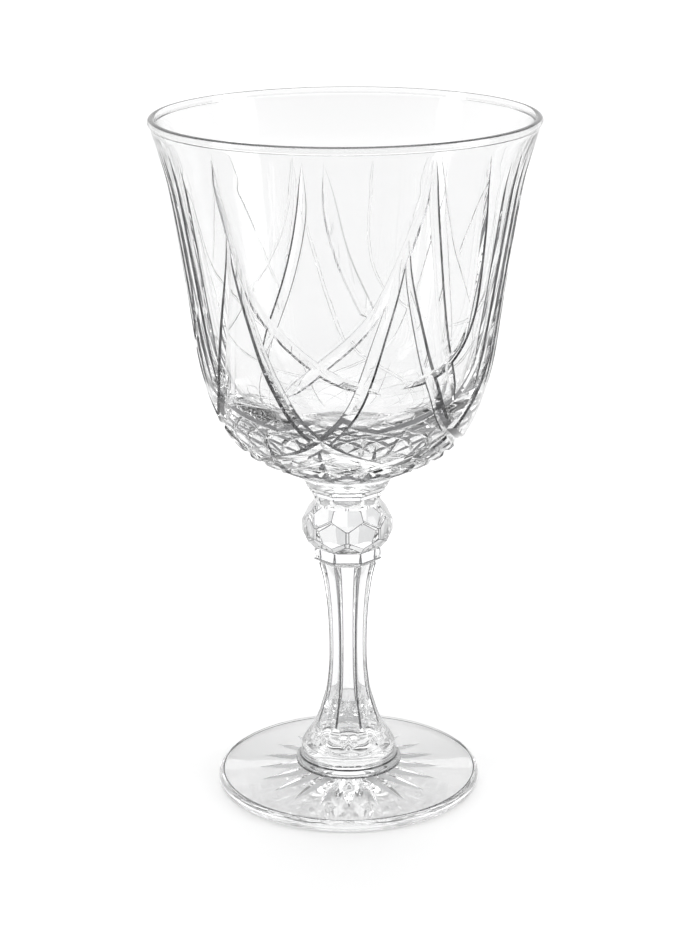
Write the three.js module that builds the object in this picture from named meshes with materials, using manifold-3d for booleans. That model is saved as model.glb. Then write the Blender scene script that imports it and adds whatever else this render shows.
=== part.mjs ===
// Cut crystal wine glass on a faceted stem, standing on its foot. Millimetres, +Z up, axis on Z.
import * as THREE from 'three';
import { mergeVertices } from 'three/addons/utils/BufferGeometryUtils.js';
import Module from 'manifold-3d';

const wasm = await Module();
wasm.setup();

// Overall sizes
const glassHeight = 170;
const rimRadius = 46.6;
const footRadius = 33.2;

// Heights of the pieces under the bowl, from the table up
const footCrownHeight = 5.2;
const bossHeight = 2.8;
const stemHeight = 51.2;
const lowerMereseHeight = 3.9;
const knopHeight = 11.2;
const upperMereseHeight = 6.9;

// Radii of the pieces under the bowl; the faceted ones are measured across the flats
const footEdgeThickness = 3;
const bossRadius = 13.2;
const bossEdgeRound = 1.1;
const stemBellRadius = 11.7;
const stemWaistRadius = 4.4;
const stemTopRadius = 6.7;
const lowerMereseRadius = 8.3;
const knopRadius = 11.3;
const neckRadius = 7.95;
const upperMereseTopRadius = 11.4;

// Glass facets and cuts
const facetCount = 8;
const footRayCount = 20;
const footRayInner = 3.4;
const footRayOuter = 23;
const footRayHalfWidth = 1.4;
const footRayDepth = 0.9;
const spireCount = 6;
const sectorCount = 3;
const wheelRadius = 1.5;
const cutDepth = 0.6;

const cutRunOut = 0.78;

// Foot dome beside the boss: [share of boss radius, share of the dome's rise]
const domeProfile = [[1.5, 0.42], [1.12, 0.8]];

// Round blank of the stem's bell: [share of bell radius, share of stem height]
const bellProfile = [[0.96, 0], [1, 0.018], [1, 0.035], [0.86, 0.095], [0.69, 0.17], [0.56, 0.25]];
const blankWaistShare = 1.3;
const blankWaistHeight = 0.38;

// Flat panels of the stem, first on the bell and then round the waist, in the same way
const panelOverBell = [[1.02, 0.07], [0.79, 0.125], [0.58, 0.2], [0.47, 0.3]];
const panelOverWaist = [[1.03, 0.43], [1, 0.54], [1.06, 0.68], [1.2, 0.83]];
const cutterOverhang = 1.3;

// Lower merese: [share of its radius, share of its height]
const mereseProfile = [[0.82, 0], [1, 0.42], [0.97, 0.6]];

// Knop: corner faces cut back to this share, and the belt between the two rows of slopes
const knopCornerShare = 0.93;
const knopBeltLow = 0.3;
const knopBeltHigh = 0.58;

// Upper merese: [share of neck radius, share of its height]
const collarProfile = [[1, 0], [1, 0.3], [1.06, 0.5], [1.2, 0.72]];

// Mesh fineness
const roundSegments = 48;
const edgeSteps = 6;
const bowlOutsideRings = 13;
const bowlInsideRings = 9;
const stemRings = 12;
const cutSides = 5;
const cutSteps = 8;
const weldDistance = 1e-5;

const footTop = footCrownHeight;
const bossTop = footTop + bossHeight;
const stemTop = bossTop + stemHeight;
const lowerMereseTop = stemTop + lowerMereseHeight;
const knopTop = lowerMereseTop + knopHeight;
const bowlBase = knopTop + upperMereseHeight;
const bowlHeight = glassHeight - bowlBase;

const degree = Math.PI / 180;
const facetHalfAngle = Math.PI / facetCount;
const flatsToCorners = 1 / Math.cos(facetHalfAngle);

function toManifold(geometry) {
  const bare = geometry.index ? geometry.toNonIndexed() : geometry.clone();
  bare.deleteAttribute('normal');
  bare.deleteAttribute('uv');
  const merged = mergeVertices(bare, weldDistance);
  const mesh = new wasm.Mesh({
    numProp: 3,
    vertProperties: new Float32Array(merged.attributes.position.array),
    triVerts: new Uint32Array(merged.index.array),
  });
  return new wasm.Manifold(mesh);
}

function toGeometry(manifold) {
  const mesh = manifold.getMesh();
  const geometry = new THREE.BufferGeometry();
  geometry.setAttribute('position', new THREE.BufferAttribute(new Float32Array(mesh.vertProperties), 3));
  geometry.setIndex(new THREE.BufferAttribute(new Uint32Array(mesh.triVerts), 1));
  const flat = geometry.toNonIndexed();
  flat.computeVertexNormals();
  return flat;
}

// A solid turned about Z from [radius, height] points that start and end on the axis
function turned(outline, segments = roundSegments, startAngle = 0) {
  const points = outline.map(([radius, height]) => new THREE.Vector2(radius, height));
  const geometry = new THREE.LatheGeometry(points, segments, startAngle);
  geometry.rotateX(Math.PI / 2);
  return toManifold(geometry);
}

// An eight-sided blank; radii are across the flats, and a flat or a corner faces the front
function faceted(outline, flatInFront = true) {
  const corners = outline.map(([radius, height]) => [radius * flatsToCorners, height]);
  return turned(corners, facetCount, flatInFront ? facetHalfAngle : 0);
}

function smooth(points, count) {
  const curve = new THREE.SplineCurve(points.map(([x, y]) => new THREE.Vector2(x, y)));
  return curve.getPoints(count).map((point) => [point.x, point.y]);
}

// Foot: flat base, rounded edge, gently domed top, star cut into the base
function makeFoot() {
  const edgeRound = footEdgeThickness / 2;
  const outline = [[0, 0]];
  for (let step = 0; step <= edgeSteps; step += 1) {
    const angle = -Math.PI / 2 + (Math.PI * step) / edgeSteps;
    const radius = footRadius - edgeRound + edgeRound * Math.cos(angle);
    outline.push([radius, edgeRound + edgeRound * Math.sin(angle)]);
  }
  const domeRise = footTop - footEdgeThickness;
  for (const [radiusShare, riseShare] of domeProfile) {
    outline.push([bossRadius * radiusShare, footEdgeThickness + domeRise * riseShare]);
  }
  outline.push([bossRadius, footTop]);
  outline.push([0, footTop]);
  const rays = [];
  const rayMiddle = (footRayInner + footRayOuter) / 2;
  const rayHalfLength = (footRayOuter - footRayInner) / 2;
  for (let index = 0; index < footRayCount; index += 1) {
    const ray = new THREE.OctahedronGeometry(1);
    ray.scale(footRayHalfWidth, rayHalfLength, footRayDepth);
    ray.translate(0, -rayMiddle, 0);
    ray.rotateZ((2 * Math.PI * index) / footRayCount);
    rays.push(toManifold(ray));
  }
  return turned(outline).subtract(wasm.Manifold.union(rays));
}

// Boss: the rounded button of glass between foot and stem
function makeBoss() {
  const outline = [[0, footTop], [bossRadius - bossEdgeRound, footTop]];
  const middle = footTop + bossHeight / 2;
  outline.push([bossRadius, middle - bossEdgeRound / 2]);
  outline.push([bossRadius, middle + bossEdgeRound / 2]);
  outline.push([stemBellRadius, bossTop]);
  outline.push([0, bossTop]);
  return turned(outline);
}

// Stem: eight flat panels that run out on the round bell at its foot
function makeStem() {
  const place = (radius, profile) => profile.map(([share, height]) => {
    return [radius * share, bossTop + stemHeight * height];
  });
  const bellLip = place(stemBellRadius, bellProfile.slice(0, 2));
  const bellSide = smooth([
    ...place(stemBellRadius, bellProfile.slice(2)),
    ...place(stemWaistRadius, [[blankWaistShare, blankWaistHeight]]),
    [stemTopRadius * flatsToCorners, stemTop],
  ], stemRings);
  const blank = turned([[0, bossTop], ...bellLip, ...bellSide, [0, stemTop]]);
  const panels = smooth([
    ...place(stemBellRadius, panelOverBell),
    ...place(stemWaistRadius, panelOverWaist),
    [stemTopRadius, stemTop],
  ], stemRings);
  const panelFoot = panels[0][1];
  const cutter = faceted([
    [0, bossTop - footEdgeThickness],
    [stemBellRadius * cutterOverhang, bossTop - footEdgeThickness],
    [stemBellRadius * cutterOverhang, panelFoot],
    ...panels,
    [0, stemTop],
  ]);
  return blank.intersect(cutter);
}

// Lower merese: a sharp-edged eight-sided ring on top of the stem
function makeLowerMerese() {
  const side = mereseProfile.map(([share, height]) => {
    return [lowerMereseRadius * share, stemTop + lowerMereseHeight * height];
  });
  return faceted([[0, stemTop], ...side, [neckRadius, lowerMereseTop], [0, lowerMereseTop]]);
}

// Knop: eight upright faces with corners in front, under and over a ring of sloping faces
function makeKnop() {
  const body = faceted([
    [0, lowerMereseTop],
    [knopRadius * knopCornerShare, lowerMereseTop],
    [knopRadius * knopCornerShare, knopTop],
    [0, knopTop],
  ], false);
  const slopes = faceted([
    [0, lowerMereseTop],
    [neckRadius, lowerMereseTop],
    [knopRadius, lowerMereseTop + knopHeight * knopBeltLow],
    [knopRadius, lowerMereseTop + knopHeight * knopBeltHigh],
    [neckRadius, knopTop],
    [0, knopTop],
  ]);
  return body.intersect(slopes);
}

// Upper merese: a stepped eight-sided collar that spreads under the bowl
function makeUpperMerese() {
  const side = collarProfile.map(([share, height]) => {
    return [neckRadius * share, knopTop + upperMereseHeight * height];
  });
  return faceted([[0, knopTop], ...side, [upperMereseTopRadius, bowlBase], [0, bowlBase]]);
}

// Bowl wall outside, from the base to under the lip: [share of rim radius, share of bowl height]
const bowlOutside = [
  [upperMereseTopRadius / rimRadius, 0], [0.307, 0.0225], [0.371, 0.0383], [0.468, 0.063],
  [0.554, 0.0935], [0.65, 0.153], [0.715, 0.234], [0.768, 0.336], [0.811, 0.497], [0.854, 0.658],
  [0.91, 0.82], [0.951, 0.899], [0.998, 0.98],
];

// Bowl wall inside, from the floor to under the lip, in the same shares
const bowlInside = [
  [0.1, 0.119], [0.25, 0.125], [0.39, 0.147], [0.51, 0.195], [0.6, 0.25], [0.664, 0.31],
  [0.727, 0.425], [0.773, 0.572], [0.826, 0.73], [0.884, 0.865], [0.958, 0.98],
];

// Rounded lip, outside to inside: [share of its half thickness across, share of it down from the top]
const lipProfile = [[0.8, 0.6], [0.3, 0], [-0.3, 0], [-0.8, 0.6]];

const outsideCurve = smooth(bowlOutside, bowlOutsideRings);

function wallRadius(share) {
  for (let index = 1; index < outsideCurve.length; index += 1) {
    const [lowRadius, low] = outsideCurve[index - 1];
    const [highRadius, high] = outsideCurve[index];
    if (share <= high) {
      const part = (share - low) / (high - low);
      return rimRadius * (lowRadius + (highRadius - lowRadius) * part);
    }
  }
  return rimRadius;
}

// The cut lines on the wall, in degrees round from the front and in shares of bowl height.
// The two legs of one pointed spire are repeated for every spire.
const spireLegs = [
  [[20, 0.77], [18, 0.67], [12, 0.5], [4, 0.32], [-5, 0.23], [-17, 0.17]],
  [[20, 0.77], [21, 0.65], [28, 0.45], [34, 0.34], [42, 0.24], [53, 0.17]],
];

// The crossing sweeps are repeated for every sector
const sweeps = [
  [[-12, 0.95], [-14, 0.8], [-20, 0.63], [-32, 0.42]],
  [[-41, 0.95], [-41, 0.82], [-33, 0.58], [-10, 0.41], [13, 0.34]],
  [[-6, 0.95], [-4, 0.81], [0, 0.69], [8, 0.55]],
  [[25, 0.95], [23, 0.81], [10, 0.56], [-10, 0.41], [-25, 0.32]],
  [[26, 0.95], [28, 0.82], [36, 0.5], [46, 0.28]],
  [[46, 0.95], [50, 0.74], [50, 0.52], [39, 0.4], [20, 0.35]],
];

// A wheel cut: a round-bottomed channel that fades out at both ends
function makeCut(line, turn) {
  const lift = wheelRadius - cutDepth;
  const last = line.length - 1;
  const points = line.map(([angle, share], index) => {
    const runOut = index === 0 || index === last ? cutRunOut : 0;
    const radius = wallRadius(share) + lift + runOut;
    const direction = angle * degree + turn;
    const height = bowlBase + bowlHeight * share;
    return new THREE.Vector3(radius * Math.sin(direction), -radius * Math.cos(direction), height);
  });
  const circle = new THREE.Shape();
  for (let side = 0; side < cutSides; side += 1) {
    const angle = (2 * Math.PI * side) / cutSides;
    const x = wheelRadius * Math.cos(angle);
    const y = wheelRadius * Math.sin(angle);
    if (side === 0) circle.moveTo(x, y);
    else circle.lineTo(x, y);
  }
  circle.closePath();
  const path = new THREE.CatmullRomCurve3(points);
  return toManifold(new THREE.ExtrudeGeometry(circle, { steps: cutSteps, extrudePath: path }));
}

// Bowl: a thick-based tulip with a rounded lip, cut all over below the lip
function makeBowl() {
  const toSize = ([radius, share]) => [radius * rimRadius, bowlBase + bowlHeight * share];
  const outside = outsideCurve.map(toSize);
  const inside = smooth(bowlInside, bowlInsideRings).map(toSize).reverse();
  const lipOuter = outside[outside.length - 1];
  const lipInner = inside[0];
  const lipMiddle = (lipOuter[0] + lipInner[0]) / 2;
  const lipHalf = (lipOuter[0] - lipInner[0]) / 2;
  const lip = lipProfile.map(([across, drop]) => {
    return [lipMiddle + lipHalf * across, glassHeight - lipHalf * drop];
  });
  const floor = bowlBase + bowlHeight * bowlInside[0][1];
  const blank = turned([[0, bowlBase], ...outside, ...lip, ...inside, [0, floor]]);
  const cuts = [];
  for (let spire = 0; spire < spireCount; spire += 1) {
    for (const leg of spireLegs) cuts.push(makeCut(leg, (2 * Math.PI * spire) / spireCount));
  }
  for (let sector = 0; sector < sectorCount; sector += 1) {
    for (const sweep of sweeps) cuts.push(makeCut(sweep, (2 * Math.PI * sector) / sectorCount));
  }
  return blank.subtract(wasm.Manifold.union(cuts));
}

const glass = new THREE.Group();
glass.name = 'wine_glass';

function addPiece(name, manifold, colour) {
  const material = new THREE.MeshStandardMaterial({ color: colour, roughness: 0.04, metalness: 0 });
  material.name = `${name}_glass`;
  const mesh = new THREE.Mesh(toGeometry(manifold), material);
  mesh.name = name;
  glass.add(mesh);
}

addPiece('foot', makeFoot(), 0xe6eef0);
addPiece('foot_boss', makeBoss(), 0xe0eaec);
addPiece('stem', makeStem(), 0xe9f1f3);
addPiece('lower_merese', makeLowerMerese(), 0xdce8eb);
addPiece('knop', makeKnop(), 0xe7f0f2);
addPiece('upper_merese', makeUpperMerese(), 0xdeeaed);
addPiece('bowl', makeBowl(), 0xeaf2f4);

export default glass;
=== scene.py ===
import math
import bpy
import bmesh
import numpy as np
from mathutils import Matrix, Vector


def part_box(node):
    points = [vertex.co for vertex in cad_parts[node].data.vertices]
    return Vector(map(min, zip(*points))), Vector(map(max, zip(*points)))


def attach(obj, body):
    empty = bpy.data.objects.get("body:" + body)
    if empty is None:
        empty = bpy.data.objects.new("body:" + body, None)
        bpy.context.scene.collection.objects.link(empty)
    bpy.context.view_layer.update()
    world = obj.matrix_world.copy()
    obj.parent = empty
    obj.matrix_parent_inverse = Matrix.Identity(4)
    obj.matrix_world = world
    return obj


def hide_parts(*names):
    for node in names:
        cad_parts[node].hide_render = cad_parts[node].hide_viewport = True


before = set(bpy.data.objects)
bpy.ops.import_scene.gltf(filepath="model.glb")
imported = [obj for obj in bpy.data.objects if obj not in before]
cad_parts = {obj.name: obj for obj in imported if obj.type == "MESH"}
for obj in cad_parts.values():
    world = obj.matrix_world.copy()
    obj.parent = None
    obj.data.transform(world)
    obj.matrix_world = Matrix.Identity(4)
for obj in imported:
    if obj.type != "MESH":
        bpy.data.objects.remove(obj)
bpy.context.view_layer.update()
mm = 0.001

# joint heights between the fused pieces, straight from the frame
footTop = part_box("foot")[1].z
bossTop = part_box("foot_boss")[1].z
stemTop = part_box("stem")[1].z
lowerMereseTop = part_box("lower_merese")[1].z
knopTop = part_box("knop")[1].z
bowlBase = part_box("upper_merese")[1].z
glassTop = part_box("bowl")[1].z
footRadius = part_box("foot")[1].x
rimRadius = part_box("bowl")[1].x
bowlHeight = glassTop - bowlBase

# radii shared where two pieces are fused, across the flats on the faceted ones
bossFootRadius = 13.4 * mm
bellRadius = 11.8 * mm
stemTopRadius = 6.7 * mm
neckRadius = 7.95 * mm
bowlBaseRadius = 11.4 * mm

facets = 8
facetAngle = 2 * math.pi / facets
jointSlack = 0.02 * mm   # a face this close to a joint's height lies on the joint
wholeFace = 99 * mm      # reach of a joint that takes up all of the flat face
curveSteps = 6


def curveThrough(points, steps):
    # Catmull-Rom curve through the points, steps to each stretch
    pts = [Vector(p) for p in points]
    pts = [2 * pts[0] - pts[1]] + pts + [2 * pts[-1] - pts[-2]]
    out = []
    for i in range(1, len(pts) - 2):
        a, b, c, d = pts[i - 1:i + 3]
        for k in range(steps):
            t = k / steps
            out.append(0.5 * (2 * b + (c - a) * t + (2 * a - 5 * b + 4 * c - d) * t * t
                              + (3 * b - a - 3 * c + d) * t * t * t))
    out.append(pts[-2])
    return [tuple(p) for p in out]


def arc(cx, cz, radius, startDeg, endDeg, steps):
    angles = [math.radians(startDeg + (endDeg - startDeg) * i / steps) for i in range(steps + 1)]
    return [(cx + radius * math.cos(a), cz + radius * math.sin(a)) for a in angles]


def facetScale(angle, cornersInFront):
    # how far out an eight-sided section lies at this angle, for 1 across the flats
    turn = 0 if cornersInFront else facetAngle / 2
    fromMiddle = (angle + turn) % facetAngle - facetAngle / 2
    return 1 / math.cos(fromMiddle)


def turnedMesh(name, outline, columns, faceted=0.0, cornersInFront=False):
    # outline runs (radius, height) or (radius, height, facetShare) from axis to axis
    bm = bmesh.new()
    rings = []
    for point in outline[1:-1]:
        share = point[2] if len(point) > 2 else faceted
        ring = []
        for c in range(columns):
            angle = 2 * math.pi * c / columns
            reach = point[0] * (1 + share * (facetScale(angle, cornersInFront) - 1))
            ring.append(bm.verts.new((reach * math.sin(angle), -reach * math.cos(angle), point[1])))
        rings.append(ring)
    foot = bm.verts.new((0, 0, outline[0][1]))
    top = bm.verts.new((0, 0, outline[-1][1]))
    for c in range(columns):
        n = (c + 1) % columns
        bm.faces.new((foot, rings[0][n], rings[0][c]))
        bm.faces.new((top, rings[-1][c], rings[-1][n]))
        for low, high in zip(rings, rings[1:]):
            bm.faces.new((low[c], low[n], high[n], high[c]))
    mesh = bpy.data.meshes.new(name)
    bm.to_mesh(mesh)
    bm.free()
    obj = bpy.data.objects.new(name, mesh)
    bpy.context.collection.objects.link(obj)
    return obj


def meshFrom(name, verts, faces):
    mesh = bpy.data.meshes.new(name)
    mesh.from_pydata(verts, [], faces)
    obj = bpy.data.objects.new(name, mesh)
    bpy.context.collection.objects.link(obj)
    return obj


def combine(target, tools, operation):
    # solid against solid: DIFFERENCE cuts, INTERSECT keeps what both share
    rack = bpy.data.collections.new("tools")
    bpy.context.scene.collection.children.link(rack)
    for tool in tools:
        rack.objects.link(tool)
    step = target.modifiers.new("cut", "BOOLEAN")
    step.operation = operation
    step.solver = "MANIFOLD"
    step.operand_type = "COLLECTION"
    step.collection = rack
    depsgraph = bpy.context.evaluated_depsgraph_get()
    done = bpy.data.meshes.new_from_object(target.evaluated_get(depsgraph))
    target.modifiers.clear()
    old = target.data
    done.name = old.name
    target.data = done
    bpy.data.meshes.remove(old)
    for tool in tools:
        used = tool.data
        bpy.data.objects.remove(tool)
        bpy.data.meshes.remove(used)
    bpy.data.collections.remove(rack)


# the glass: clear for every piece, with painted shade darker along cut edges, on shaded flanks and facets
# and where seen edge-on
crystalLook = dict(
    ior=1.545,
    tint=(0.935, 0.938, 0.94, 1),
    # painted shade: the colour the glass is painted where seen edge-on, and over which facing range
    outline=(0.16, 0.165, 0.17, 1), outlineFrom=0.72, outlineTo=0.97,
    polish=(0.0, 0.02),        # roughness from clean to slightly dull
    smearScale=60, smearDetail=3, smearFrom=0.45, smearTo=0.75,
    waveScale=220, waveDepth=0.008, waveDetail=1, waveHeight=0.001,
)
solidLook = dict(crystalLook, outline=(0.05, 0.052, 0.055, 1), outlineFrom=0.42)   # thick solid pieces, with a wider and darker painted edge shade
# painted shade: near-black glass for narrow strips along cut edges and rings, in place of the dark lines
# refraction gives
paintedShadeLineLook = dict(
    crystalLook,
    tint=(0.03, 0.03, 0.032, 1),
    outline=(0.02, 0.02, 0.02, 1), outlineFrom=0.7,
    polish=(0.03, 0.12),
    waveScale=900, waveDepth=0.02,
)
shadedLook = dict(
    crystalLook,
    tint=(0.6, 0.605, 0.612, 1),
    outline=(0.1, 0.1, 0.1, 1), outlineFrom=0.7,
    polish=(0.0, 0.03),
    waveScale=300, waveDepth=0.03,
)


def crystal(name, look, drawn=1.0):
    # drawn below 1 stretches the waviness upwards, as in a blown wall
    mat = bpy.data.materials.new(name)
    mat.use_nodes = True
    nodes, links = mat.node_tree.nodes, mat.node_tree.links
    shader = nodes["Principled BSDF"]
    facing = nodes.new("ShaderNodeLayerWeight")
    facing.inputs["Blend"].default_value = 0.5
    outline = nodes.new("ShaderNodeValToRGB")   # painted shade: glass seen edge-on is painted darker, standing in for the dark edges refraction gives
    outline.color_ramp.elements[0].position = look["outlineFrom"]
    outline.color_ramp.elements[0].color = look["tint"]
    outline.color_ramp.elements[1].position = look["outlineTo"]
    outline.color_ramp.elements[1].color = look["outline"]
    links.new(facing.outputs["Facing"], outline.inputs["Fac"])
    links.new(outline.outputs["Color"], shader.inputs["Base Color"])
    shader.inputs["IOR"].default_value = look["ior"]
    shader.inputs["Transmission Weight"].default_value = 1.0
    coords = nodes.new("ShaderNodeTexCoord")
    smear = nodes.new("ShaderNodeTexNoise")
    smear.inputs["Scale"].default_value = look["smearScale"]
    smear.inputs["Detail"].default_value = look["smearDetail"]
    links.new(coords.outputs["Object"], smear.inputs["Vector"])
    polish = nodes.new("ShaderNodeMapRange")
    polish.inputs["From Min"].default_value = look["smearFrom"]
    polish.inputs["From Max"].default_value = look["smearTo"]
    polish.inputs["To Min"].default_value = look["polish"][0]
    polish.inputs["To Max"].default_value = look["polish"][1]
    links.new(smear.outputs["Fac"], polish.inputs["Value"])
    links.new(polish.outputs["Result"], shader.inputs["Roughness"])
    wavy = nodes.new("ShaderNodeTexNoise")
    wavy.inputs["Scale"].default_value = look["waveScale"]
    wavy.inputs["Detail"].default_value = look["waveDetail"]
    stretch = nodes.new("ShaderNodeMapping")
    stretch.inputs["Scale"].default_value = (1, 1, drawn)
    links.new(coords.outputs["Object"], stretch.inputs["Vector"])
    links.new(stretch.outputs["Vector"], wavy.inputs["Vector"])
    bump = nodes.new("ShaderNodeBump")
    bump.inputs["Strength"].default_value = look["waveDepth"]
    bump.inputs["Distance"].default_value = look["waveHeight"]
    links.new(wavy.outputs["Fac"], bump.inputs["Height"])
    links.new(bump.outputs["Normal"], shader.inputs["Normal"])
    return mat


def fusedJoint():
    # inside a fused joint there is no surface, so light goes straight on
    mat = bpy.data.materials.new("fused joint")
    mat.use_nodes = True
    nodes, links = mat.node_tree.nodes, mat.node_tree.links
    nodes.remove(nodes["Principled BSDF"])
    clear = nodes.new("ShaderNodeBsdfTransparent")
    links.new(clear.outputs["BSDF"], nodes["Material Output"].inputs["Surface"])
    return mat


fused = fusedJoint()
paintedShadeLine = crystal("painted shade line", paintedShadeLineLook)   # painted shade: a narrow dark line along cut edges and rings
shaded = crystal("shaded facet", shadedLook)   # flanks and facets that hold less light


def dressed(obj, material, faceSlot=0):
    # slot 0 is the open glass, 1 a fused joint, 2 the narrow painted dark line, 3 a flank or facet painted
    # in shade
    for mat in (material, fused, paintedShadeLine, shaded):
        obj.data.materials.append(mat)
    for face in obj.data.polygons:
        face.material_index = faceSlot
    return obj


def onJoint(point, joints):
    return any(abs(point.z - height) < jointSlack for height, reach in joints)


def softenEdges(obj, joints, width, sharpDeg=20):
    # a narrow bevel along the facet edges, left off where the next piece is fused on; its faces take the
    # painted dark line
    bm = bmesh.new()
    bm.from_mesh(obj.data)
    layer = bm.edges.layers.float.new("bevel_weight_edge")
    for edge in bm.edges:
        flatOn = all(onJoint(v.co, joints) for v in edge.verts)
        if len(edge.link_faces) == 2 and not flatOn:
            if edge.calc_face_angle(0) > math.radians(sharpDeg):
                edge[layer] = 1.0
    bm.to_mesh(obj.data)
    bm.free()
    bevel = obj.modifiers.new("edge", "BEVEL")
    bevel.limit_method = "WEIGHT"
    bevel.width = width
    bevel.segments = 2
    # the bevel faces take slot 2, the painted shade line
    bevel.material = 2
    bevel.use_clamp_overlap = True
    depsgraph = bpy.context.evaluated_depsgraph_get()
    done = bpy.data.meshes.new_from_object(obj.evaluated_get(depsgraph))
    obj.modifiers.clear()
    old = obj.data
    done.name = old.name
    obj.data = done
    bpy.data.meshes.remove(old)


def finishPiece(obj, node, joints, sharpDeg=18):
    # sharp cut edges stay crisp, the rest is shaded smooth; joint faces get the fused glass
    mesh = obj.data
    for face in mesh.polygons:
        face.use_smooth = True
        if abs(face.normal.z) > 0.999:
            for height, reach in joints:
                inReach = math.hypot(face.center.x, face.center.y) < reach
                if abs(face.center.z - height) < jointSlack and inReach:
                    face.material_index = 1
    mesh.set_sharp_from_angle(angle=math.radians(sharpDeg))
    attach(obj, "root")
    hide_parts(node)
    return obj


# foot: a thin disc with a star cut into its underside
foot = dict(
    tint=(0.975, 0.976, 0.977, 1),
    edgeThickness=3.0 * mm, columns=180,
    topCurve=[(0.80, 3.35), (0.62, 3.9), (0.50, 4.45)],   # share of foot radius, height in mm
    rays=20, rayInner=2.6 * mm, rayMiddle=12.5 * mm, rayOuter=23.1 * mm,
    rayHalfWidth=1.55 * mm, rayDepth=1.05 * mm, raySections=12,
    rayTipWidth=0.004 * mm, rayTipDepth=0.003 * mm,
    edgeFromDeg=-80, edgeToDeg=86, edgeSteps=14,
    edgeLines=[(-70, -56), (70, 82)],   # painted dark lines (painted shade) on the rounded edge, degrees round its section
)


def starRay(turn, glass):
    # a long pointed mitre cut, deepest nearer the middle
    inner, middle, outer = foot["rayInner"], foot["rayMiddle"], foot["rayOuter"]
    half, depth = foot["rayHalfWidth"], foot["rayDepth"]
    sections = foot["raySections"]
    verts, faces = [], []
    for i in range(sections + 1):
        t = i / sections
        r = inner + (outer - inner) * t
        k = (middle - inner) / (outer - inner)
        grow = math.sin(math.pi * t ** (math.log(0.5) / math.log(k)))
        w = max(half * grow, foot["rayTipWidth"])
        d = max(depth * grow, foot["rayTipDepth"])
        for x, z in ((0, d), (w * 2, -d), (-w * 2, -d)):
            verts.append((x * math.cos(turn) + r * math.sin(turn),
                          x * math.sin(turn) - r * math.cos(turn), z))
    for i in range(sections):
        a, b = 3 * i, 3 * i + 3
        for j in range(3):
            n = (j + 1) % 3
            faces.append((a + j, a + n, b + n, b + j))
    faces.append((0, 2, 1))
    faces.append((3 * sections, 3 * sections + 1, 3 * sections + 2))
    ray = meshFrom("ray", verts, faces)
    dressed(ray, glass)
    for face in ray.data.polygons:   # both flanks of a ray hold less light
        if face.index % 3 != 1:
            face.material_index = 3
    bm = bmesh.new()
    bm.from_mesh(ray.data)
    bmesh.ops.recalc_face_normals(bm, faces=bm.faces)
    bm.to_mesh(ray.data)
    bm.free()
    return ray


def makeFoot():
    edge = foot["edgeThickness"] / 2
    outline = [(0, 0), (foot["rayInner"], 0), (footRadius - edge, 0)]
    outline += arc(footRadius - edge, edge, edge, foot["edgeFromDeg"], foot["edgeToDeg"], foot["edgeSteps"])
    upper = [(footRadius - edge * 1.2, foot["edgeThickness"] + 0.02 * mm)]
    upper += [(s * footRadius, h * mm) for s, h in foot["topCurve"]]
    upper += [(bossFootRadius, footTop)]
    outline += curveThrough(upper, curveSteps)
    outline += [(0, footTop)]
    glass = crystal("foot crystal", dict(crystalLook, tint=foot["tint"], outlineFrom=0.8))
    body = dressed(turnedMesh("glass_foot", outline, foot["columns"]), glass)
    # painted shade: dark lines on the foot's rounded edge
    for face in body.data.polygons:
        reach = math.hypot(face.center.x, face.center.y)
        around = math.degrees(math.atan2(face.center.z - edge, reach - footRadius + edge))
        if any(low < around < high for low, high in foot["edgeLines"]) and reach > footRadius - edge:
            face.material_index = 2
    rays = [starRay(2 * math.pi * i / foot["rays"], glass) for i in range(foot["rays"])]
    combine(body, rays, "DIFFERENCE")
    return finishPiece(body, "foot", [(footTop, bossFootRadius)])


# foot boss: the rounded button between foot and stem
boss = dict(
    columns=180,
    lines=[(0.0, 0.12), (0.6, 0.74)],   # painted dark ring lines (painted shade), shares of its height
    tuck=0.2 * mm, tuckShare=0.3, shoulder=0.5 * mm, shoulderShare=0.72,
)


def makeBoss():
    height = bossTop - footTop
    side = curveThrough([
        (bossFootRadius, footTop),
        (bossFootRadius - boss["tuck"], footTop + boss["tuckShare"] * height),
        (bellRadius + boss["shoulder"], footTop + boss["shoulderShare"] * height),
        (bellRadius, bossTop),
    ], curveSteps)
    body = turnedMesh("glass_foot_boss", [(0, footTop)] + side + [(0, bossTop)], boss["columns"])
    dressed(body, crystal("boss crystal", solidLook))
    # painted shade: dark ring lines round the boss
    for face in body.data.polygons:
        share = (face.center.z - footTop) / height
        if abs(face.normal.z) < 0.95 and any(low < share < high for low, high in boss["lines"]):
            face.material_index = 2
    return finishPiece(body, "foot_boss", [(footTop, bossFootRadius), (bossTop, bellRadius)])


# stem: eight hollowed panels that run out on a round bell
stem = dict(
    columns=160, flute=1.7,   # 1 is flat panels, more is hollowed ones
    edgeColumns=1, edgeFrom=0.16,   # width of the painted dark corner lines, and where up the stem they start
    cutterReach=16 * mm, cutterClear=0.3 * mm, curveSteps=5,
    # radius of the round blank and across the cut panels, in mm, by share of stem height
    blank=[(11.8, 0.0), (12.0, 0.018), (11.75, 0.042), (11.0, 0.068), (9.7, 0.105), (8.5, 0.145),
           (7.7, 0.19), (7.0, 0.25), (6.6, 0.35), (6.6, 0.5), (6.8, 0.75), (7.6, 1.0)],
    panels=[(11.6, 0.06), (9.6, 0.098), (7.95, 0.15), (6.75, 0.2), (5.85, 0.26), (5.25, 0.31),
            (4.8, 0.38), (4.48, 0.46), (4.4, 0.56), (4.5, 0.66), (4.85, 0.78), (5.5, 0.89),
            (6.05, 0.95), (6.7, 1.0)],
)


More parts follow.
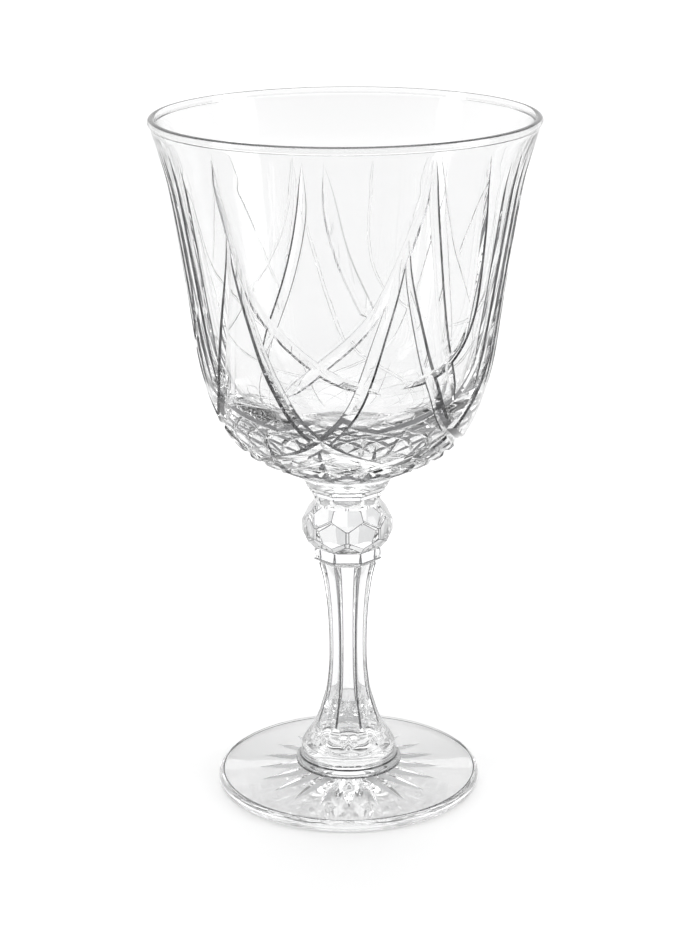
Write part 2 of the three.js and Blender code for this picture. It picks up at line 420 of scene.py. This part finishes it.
def makeStem():
    height = stemTop - bossTop
    blankSide = curveThrough([(r * mm, bossTop + s * height) for r, s in stem["blank"]],
                             stem["curveSteps"])
    body = turnedMesh("glass_stem", [(0, bossTop)] + blankSide + [(0, stemTop)], stem["columns"])
    panelSide = curveThrough([(r * mm, bossTop + s * height) for r, s in stem["panels"]],
                             stem["curveSteps"])
    wide = stem["cutterReach"]
    outline = [(0, bossTop - wide), (wide, bossTop - wide), (wide, panelSide[0][1] - stem["cutterClear"])]
    outline += panelSide + [(0, stemTop)]
    panels = turnedMesh("panels", outline, stem["columns"], faceted=stem["flute"])
    glass = crystal("stem crystal", solidLook)
    combine(dressed(body, glass), [dressed(panels, glass)], "INTERSECT")
    column = 2 * math.pi / stem["columns"]
    for face in body.data.polygons:   # painted shade: the dark line where two hollow panels meet
        x, y, z = face.center
        fromCorner = abs((math.atan2(x, -y)) % facetAngle - facetAngle / 2)
        if fromCorner < column * stem["edgeColumns"] and z > bossTop + stem["edgeFrom"] * height:
            face.material_index = 2
    return finishPiece(body, "stem", [(bossTop, bellRadius), (stemTop, wholeFace)])


# lower merese: a sharp-edged ring on top of the stem
lowerMerese = dict(
    bevel=0.13 * mm, edge=8.35 * mm,
    # from the foot of the ring up: distance in or out from its edge or its neighbour, share of height
    start=(0.25 * mm, 0.1), under=(0.15 * mm, 0.30), edgeShare=0.40, over=(0.1 * mm, 0.55),
    end=(0.12 * mm, 0.86),
)


def makeLowerMerese():
    height = lowerMereseTop - stemTop
    edge = lowerMerese["edge"]
    start, under, over, end = [lowerMerese[part] for part in ("start", "under", "over", "end")]
    outline = [
        (0, stemTop), (stemTopRadius, stemTop),
        (stemTopRadius + start[0], stemTop + start[1] * height),
        (edge - under[0], stemTop + under[1] * height),
        (edge, stemTop + lowerMerese["edgeShare"] * height),
        (edge - over[0], stemTop + over[1] * height),
        (neckRadius + end[0], stemTop + end[1] * height),
        (neckRadius, lowerMereseTop), (0, lowerMereseTop),
    ]
    body = turnedMesh("glass_lower_merese", outline, facets * 2, faceted=1.0)
    dressed(body, crystal("lower merese crystal", solidLook))
    joints = [(stemTop, wholeFace), (lowerMereseTop, wholeFace)]
    softenEdges(body, joints, lowerMerese["bevel"])
    return finishPiece(body, "lower_merese", joints)


# knop: upright faces between two rings of sloping ones
knop = dict(
    bevel=0.12 * mm, corner=11.35 * mm, beltLow=0.34, beltHigh=0.6, slopeRadius=11.2 * mm,
    beltOver=1 * mm, shadeLow=-0.95, shadeHigh=-0.2,   # how far down a face looks to be shaded
)


def makeKnop():
    height = knopTop - lowerMereseTop
    across = knop["corner"] * math.cos(facetAngle / 2)
    slopes = [
        (0, lowerMereseTop), (neckRadius, lowerMereseTop),
        (knop["slopeRadius"], lowerMereseTop + knop["beltLow"] * height),
        (knop["slopeRadius"], lowerMereseTop + knop["beltHigh"] * height),
        (neckRadius, knopTop), (0, knopTop),
    ]
    body = turnedMesh("glass_knop", slopes, facets * 2, faceted=1.0)
    over = knop["beltOver"]
    belt = turnedMesh("belt", [
        (0, lowerMereseTop - over), (across, lowerMereseTop - over), (across, knopTop + over),
        (0, knopTop + over),
    ], facets * 2, faceted=1.0, cornersInFront=True)
    glass = crystal("knop crystal", solidLook)
    combine(dressed(body, glass), [dressed(belt, glass)], "INTERSECT")
    for face in body.data.polygons:
        undercut = knop["shadeLow"] < face.normal.z < knop["shadeHigh"]
        if undercut and face.center.x * face.center.y > 0:
            face.material_index = 3
    joints = [(lowerMereseTop, wholeFace), (knopTop, wholeFace)]
    softenEdges(body, joints, knop["bevel"])
    return finishPiece(body, "knop", joints)


# upper merese: a stepped collar that turns from eight-sided to round
upperMerese = dict(
    columns=160,
    # across flats in mm, share of height, how faceted it still is
    side=[(7.95, 0.0, 1.0), (7.75, 0.08, 1.0), (7.8, 0.22, 1.0), (8.1, 0.25, 1.0), (8.15, 0.36, 1.0),
          (8.5, 0.40, 1.0), (8.6, 0.52, 1.0), (9.1, 0.58, 1.0), (9.5, 0.70, 0.8), (10.1, 0.76, 0.6),
          (10.6, 0.88, 0.3), (11.4, 1.0, 0.0)],
    lines=[(0.2, 0.27), (0.345, 0.42), (0.51, 0.6), (0.69, 0.78)],   # painted dark lines at the steps, shares of height
)


def makeUpperMerese():
    height = bowlBase - knopTop
    side = [(r * mm, knopTop + s * height, f) for r, s, f in upperMerese["side"]]
    outline = [(0, knopTop)] + side + [(0, bowlBase)]
    body = turnedMesh("glass_upper_merese", outline, upperMerese["columns"])
    dressed(body, crystal("upper merese crystal", solidLook))
    # painted shade: dark lines round the steps
    for face in body.data.polygons:
        share = (face.center.z - knopTop) / height
        if any(low < share < high for low, high in upperMerese["lines"]):
            face.material_index = 2
    joints = [(knopTop, wholeFace), (bowlBase, wholeFace)]
    return finishPiece(body, "upper_merese", joints)


# bowl: a thick-based flared cup, mitre cut all over below the lip
bowl = dict(
    tint=(0.918, 0.919, 0.92, 1), columns=288,
    # share of rim radius, share of bowl height
    outside=[(0.245, 0), (0.307, 0.0225), (0.371, 0.0383), (0.468, 0.063), (0.554, 0.0935), (0.65, 0.153),
             (0.715, 0.234), (0.768, 0.336), (0.811, 0.497), (0.854, 0.658), (0.906, 0.82), (0.9445, 0.899),
             (0.9885, 0.976)],
    inside=[(0.1, 0.119), (0.25, 0.125), (0.39, 0.147), (0.51, 0.195), (0.6, 0.25), (0.664, 0.31),
            (0.727, 0.425), (0.773, 0.572), (0.826, 0.73), (0.884, 0.865), (0.9585, 0.98)],
    cutDepth=0.9 * mm, cutWidth=3.1 * mm, shoulder=0.76, shoulderDepth=0.55,
    spires=6, sectors=3,
    # degrees round from the front, share of bowl height
    spireLegs=[
        dict(line=[(20, 0.8), (18, 0.67), (12, 0.5), (4, 0.32), (-5, 0.23), (-19, 0.16), (-38, 0.12),
                   (-58, 0.09)], width=1.1, fade=(0.4, 0.15)),
        dict(line=[(20, 0.8), (21, 0.65), (28, 0.45), (34, 0.34), (42, 0.24), (55, 0.17), (74, 0.12),
                   (94, 0.09)], width=1.1, shoulder=0.64, fade=(0.4, 0.15)),
    ],
    sweeps=[
        dict(line=[(-12, 0.96), (-14, 0.8), (-20, 0.63), (-32, 0.42)], width=0.85, fade=(0.35, 0.16)),
        dict(line=[(-41, 0.95), (-41, 0.82), (-33, 0.58), (-10, 0.41), (13, 0.34)], width=0.9,
             edgeSlot=3, fade=(0.3, 0.14)),
        dict(line=[(-6, 0.96), (-4, 0.81), (0, 0.69), (8, 0.55)], width=1.2, edgeSlot=3,
             fade=(0.35, 0.05)),
        dict(line=[(25, 0.96), (23, 0.81), (10, 0.56), (-10, 0.41), (-25, 0.32)], width=0.95,
             edgeSlot=3, fade=(0.4, 0.14)),
        dict(line=[(26, 0.96), (28, 0.82), (36, 0.5), (46, 0.28)], width=0.85, fade=(0.35, 0.12)),
        dict(line=[(46, 0.95), (50, 0.74), (50, 0.52), (39, 0.4), (20, 0.35)], width=0.85,
             fade=(0.3, 0.14)),
    ],
    sides=[   # long upright cuts that stand at both sides, mirrored for the left
        dict(line=[(58, 0.92), (59, 0.71), (58, 0.55), (55, 0.36)], width=0.6, shoulder=0.4,
             fade=(0.4, 0.3)),
        dict(line=[(64, 0.94), (64, 0.75), (62, 0.52), (58, 0.3)], width=0.8, shoulder=0.6,
             fade=(0.3, 0.2)),
        dict(line=[(70, 0.94), (70, 0.7), (68, 0.5), (63, 0.3)], width=0.9, shoulder=0.55,
             fade=(0.3, 0.2)),
        dict(line=[(77, 0.94), (76, 0.7), (74, 0.5), (70, 0.28)], width=0.9, shoulder=0.6,
             fade=(0.3, 0.2)),
        dict(line=[(84, 0.93), (83, 0.7), (81, 0.5), (77, 0.28)], width=0.9, shoulder=0.6,
             fade=(0.3, 0.2)),
    ],
    beadRadius=1.0 * mm, beadNeckDeg=48, beadSteps=24, lipLineDeg=(44, 110),
    baseCuts=18,   # fine crossing cuts under the bowl, leaning both ways
    baseCut=dict(line=[(0, 0.165), (18, 0.115), (40, 0.075), (62, 0.04)], width=0.68, shoulder=0.48,
                 back=0.1, fade=(0.35, 0.25)),
    petals=15,
    petal=dict(line=[(0, 0.19), (0, 0.12), (0, 0.07), (0, 0.025)], width=0.65, shoulder=0.5,
               fade=(0.5, 0.2)),
    # the cuts behind are lighter and start lower
    backCut=0.28, backTop=0.84, backFade=0.12, backLeast=0.03, frontFrom=0.45, frontOver=0.5,
    cutSteps=8, cutAbove=0.8 * mm, endLeast=0.01,
    bandFacing=0.85, bandBehind=0.2,   # the painted dark band lies on steep flanks, not far round the back
)
bowlOutside = curveThrough(bowl["outside"], curveSteps)
bowlShares = np.array([p[1] for p in bowlOutside])
bowlReaches = np.array([p[0] for p in bowlOutside])


def onBowl(angle, share):
    # a point on the outer wall and the wall's outward direction there
    nearby = 0.004
    reach = float(np.interp(share, bowlShares, bowlReaches)) * rimRadius
    ahead = float(np.interp(share + nearby, bowlShares, bowlReaches)) * rimRadius
    behind = float(np.interp(share - nearby, bowlShares, bowlReaches)) * rimRadius
    slope = (ahead - behind) / (2 * nearby * bowlHeight)
    out = Vector((math.sin(angle), -math.cos(angle), 0))
    point = out * reach + Vector((0, 0, bowlBase + share * bowlHeight))
    normal = (out - Vector((0, 0, slope))).normalized()
    return point, normal


def mitreCut(cut, turn, glass):
    # a V-shaped wheel cut swept along a line on the wall, running out at both ends
    line = curveThrough(cut["line"], bowl["cutSteps"])
    places, weights = [], []
    for a, s in line:
        angle = math.radians(a) + turn
        front = min(1, max(0, (math.cos(angle) + bowl["frontFrom"]) / bowl["frontOver"]))
        front = front * front * (3 - 2 * front)
        places.append(onBowl(angle, s))
        lower = min(1, max(bowl["backLeast"], (bowl["backTop"] - s) / bowl["backFade"]))
        back = cut.get("back", bowl["backCut"]) * lower
        weights.append(back + (1 - back) * front)
    last = len(places) - 1
    verts, faces = [], []
    above = bowl["cutAbove"]
    for i, (point, normal) in enumerate(places):
        ahead = places[min(i + 1, last)][0] - places[max(i - 1, 0)][0]
        across = normal.cross(ahead).normalized()
        t = i / last
        full = min(1, t / cut["fade"][0], (1 - t) / cut["fade"][1])
        full = max(math.sin(full * math.pi / 2), bowl["endLeast"])
        depth = bowl["cutDepth"] * cut["width"] * full * weights[i]
        half = bowl["cutWidth"] / 2 * cut["width"] * full * weights[i]
        shoulder = half * cut.get("shoulder", bowl["shoulder"])
        step = depth * bowl["shoulderDepth"]
        spread = half + (half - shoulder) / step * above
        verts += [point - normal * depth, point - normal * step + across * shoulder,
                  point + normal * above + across * spread, point + normal * above - across * spread,
                  point - normal * step - across * shoulder]
    for i in range(last):
        a, b = 5 * i, 5 * i + 5
        for j in range(5):
            n = (j + 1) % 5
            faces.append((a + j, a + n, b + n, b + j))
    faces.append((4, 3, 2, 1, 0))
    faces.append(tuple(5 * last + j for j in range(5)))
    tool = meshFrom("mitre cut", verts, faces)
    bm = bmesh.new()
    bm.from_mesh(tool.data)
    bmesh.ops.recalc_face_normals(bm, faces=bm.faces)
    bmesh.ops.triangulate(bm, faces=bm.faces)
    bm.to_mesh(tool.data)
    bm.free()
    dressed(tool, glass)
    # painted shade: steep flanks in front take the dark line or the shaded facet, those behind stay clear
    for face in tool.data.polygons:
        middle = face.center
        if abs(face.normal.dot(Vector((middle.x, middle.y, 0)).normalized())) < bowl["bandFacing"]:
            inFront = -middle.y > -bowl["bandBehind"] * math.hypot(middle.x, middle.y)
            face.material_index = cut.get("edgeSlot", 2) if inFront else 0
    return tool


def makeBowl():
    outside = [(r * rimRadius, bowlBase + s * bowlHeight) for r, s in bowlOutside]
    bowlInside = curveThrough(bowl["inside"], curveSteps)
    inside = [(r * rimRadius, bowlBase + s * bowlHeight) for r, s in bowlInside]
    bead, neck = bowl["beadRadius"], bowl["beadNeckDeg"]
    lip = arc(rimRadius - bead, glassTop - bead, bead, -neck, 180 + neck, bowl["beadSteps"])
    floorHeight = inside[0][1]
    outline = [(0, bowlBase)] + outside + lip + inside[::-1] + [(0, floorHeight)]
    glass = crystal("bowl crystal", dict(crystalLook, tint=bowl["tint"]), drawn=0.1)
    body = dressed(turnedMesh("glass_bowl", outline, bowl["columns"]), glass)
    lineLow, lineHigh = bowl["lipLineDeg"]
    for face in body.data.polygons:   # painted shade: the fine dark line round the top of the lip
        reach = math.hypot(face.center.x, face.center.y)
        around = math.degrees(math.atan2(face.center.z - glassTop + bead, reach - rimRadius + bead))
        if face.center.z > glassTop - bead and lineLow < around < lineHigh:
            face.material_index = 2
    tools = []
    for i in range(bowl["spires"]):
        tools += [mitreCut(leg, 2 * math.pi * i / bowl["spires"], glass) for leg in bowl["spireLegs"]]
    for i in range(bowl["sectors"]):
        tools += [mitreCut(sweep, 2 * math.pi * i / bowl["sectors"], glass) for sweep in bowl["sweeps"]]
    for side in bowl["sides"]:
        mirrored = dict(side, line=[(-a, s) for a, s in side["line"]])
        tools += [mitreCut(side, 0, glass), mitreCut(mirrored, 0, glass)]
    leanBack = dict(bowl["baseCut"], line=[(-a, s) for a, s in bowl["baseCut"]["line"]])
    for i in range(bowl["baseCuts"]):
        turn = 2 * math.pi * i / bowl["baseCuts"]
        tools += [mitreCut(bowl["baseCut"], turn, glass), mitreCut(leanBack, turn, glass)]
    for i in range(bowl["petals"]):
        tools.append(mitreCut(bowl["petal"], 2 * math.pi * (i + 0.5) / bowl["petals"], glass))
    combine(body, tools, "DIFFERENCE")
    return finishPiece(body, "bowl", [(bowlBase, bowlBaseRadius)], sharpDeg=14)


print("turning the foot, boss, stem, mereses and knop")
pieces = [makeFoot(), makeBoss(), makeStem(), makeLowerMerese(), makeKnop(), makeUpperMerese()]
print("blowing and cutting the bowl")
pieces.append(makeBowl())
for piece in pieces:
    print(piece.name, len(piece.data.polygons), "faces")

# studio: lit white table, pale haze, four soft lights
studio = dict(
    floorSize=8.0, floorColour=(0.93, 0.93, 0.93, 1), floorGlow=0.37,   # lit acrylic table
    floorRough=0.6, floorDrop=0.05 * mm,
    hazeTop=0.27, skyDark=0.045, skyDarkAbove=0.22, skyTop=0.36, skyTopAt=0.95, skyStrength=1.0,
    lights=[
        dict(name="overhead softbox", place=(0, 0.35, 1.5), target=(0, 0.35, 0), size=(0.9, 1.4), watts=6.6),
        dict(name="back wash", place=(0, 2.7, 1.7), target=(0, 2.7, 0), size=(3.0, 2.4), watts=26),
        dict(name="left softbox", place=(-0.80, -0.22, 0.42), target=(0, 0, 0.14), size=(0.2, 0.9),
             watts=1.6),
        dict(name="right softbox", place=(0.85, -0.18, 0.42), target=(0, 0, 0.14), size=(0.4, 0.9),
             watts=2.6),
    ],
)


def makeFloor():
    half = studio["floorSize"] / 2
    floor = meshFrom("floor", [(-half, -half, 0), (half, -half, 0), (half, half, 0), (-half, half, 0)],
                     [(0, 1, 2, 3)])
    mat = bpy.data.materials.new("pale floor")
    mat.use_nodes = True
    nodes, links = mat.node_tree.nodes, mat.node_tree.links
    shader = nodes["Principled BSDF"]
    shader.inputs["Base Color"].default_value = studio["floorColour"]
    shader.inputs["Roughness"].default_value = studio["floorRough"]
    shader.inputs["Specular IOR Level"].default_value = 0.0
    shader.inputs["Emission Color"].default_value = (1, 1, 1, 1)
    shader.inputs["Emission Strength"].default_value = studio["floorGlow"]
    floor.data.materials.append(mat)
    floor.location.z = -studio["floorDrop"]
    return floor


def areaLight(name, place, target, size, watts):
    data = bpy.data.lights.new(name, "AREA")
    data.shape = "RECTANGLE"
    data.size, data.size_y = size
    data.energy = watts
    light = bpy.data.objects.new(name, data)
    light.location = place
    light.rotation_euler = (Vector(target) - Vector(place)).to_track_quat("-Z", "Y").to_euler()
    bpy.context.collection.objects.link(light)
    return light


def makeWorld():
    world = bpy.data.worlds.new("studio air")
    bpy.context.scene.world = world
    world.use_nodes = True
    nodes, links = world.node_tree.nodes, world.node_tree.links
    shine = nodes["Background"]
    coords = nodes.new("ShaderNodeTexCoord")
    split = nodes.new("ShaderNodeSeparateXYZ")
    links.new(coords.outputs["Generated"], split.inputs[0])
    ramp = nodes.new("ShaderNodeValToRGB")
    low, high = studio["skyDark"], studio["skyTop"]
    ramp.color_ramp.elements[0].position = studio["hazeTop"]
    ramp.color_ramp.elements[0].color = (1, 1, 1, 1)
    ramp.color_ramp.elements[1].position = studio["skyTopAt"]
    ramp.color_ramp.elements[1].color = (high, high, high, 1)
    dark = ramp.color_ramp.elements.new(studio["hazeTop"] + studio["skyDarkAbove"])
    dark.color = (low, low, low, 1)
    links.new(split.outputs["Z"], ramp.inputs["Fac"])
    links.new(ramp.outputs["Color"], shine.inputs["Color"])
    shine.inputs["Strength"].default_value = studio["skyStrength"]


print("laying the table and lighting the studio")
makeFloor()
makeWorld()
for light in studio["lights"]:
    areaLight(**light)

print("setting the camera")
cameraSet = dict(
    lens=88.9, sensor=36, clipStart=0.01,
    place=(0.0, -0.5361, 0.2533), tiltDeg=17.5, rollDeg=-0.323,
)
camData = bpy.data.cameras.new("camera")
camData.lens = cameraSet["lens"]
camData.sensor_width = cameraSet["sensor"]
camData.clip_start = cameraSet["clipStart"]
camera = bpy.data.objects.new("camera", camData)
look = Matrix.Rotation(math.radians(90 - cameraSet["tiltDeg"]), 4, "X")
roll = Matrix.Rotation(math.radians(cameraSet["rollDeg"]), 4, "Z")
camera.matrix_world = Matrix.Translation(cameraSet["place"]) @ look @ roll
bpy.context.collection.objects.link(camera)
bpy.context.scene.camera = camera

glassBounces = 32   # enough for light to cross every wall and facet
glossBounces = 16
scene = bpy.context.scene
scene.view_settings.view_transform = "Standard"
scene.cycles.max_bounces = glassBounces
scene.cycles.transmission_bounces = glassBounces
scene.cycles.glossy_bounces = glossBounces
scene.cycles.transparent_max_bounces = glassBounces

bpy.context.view_layer.update()
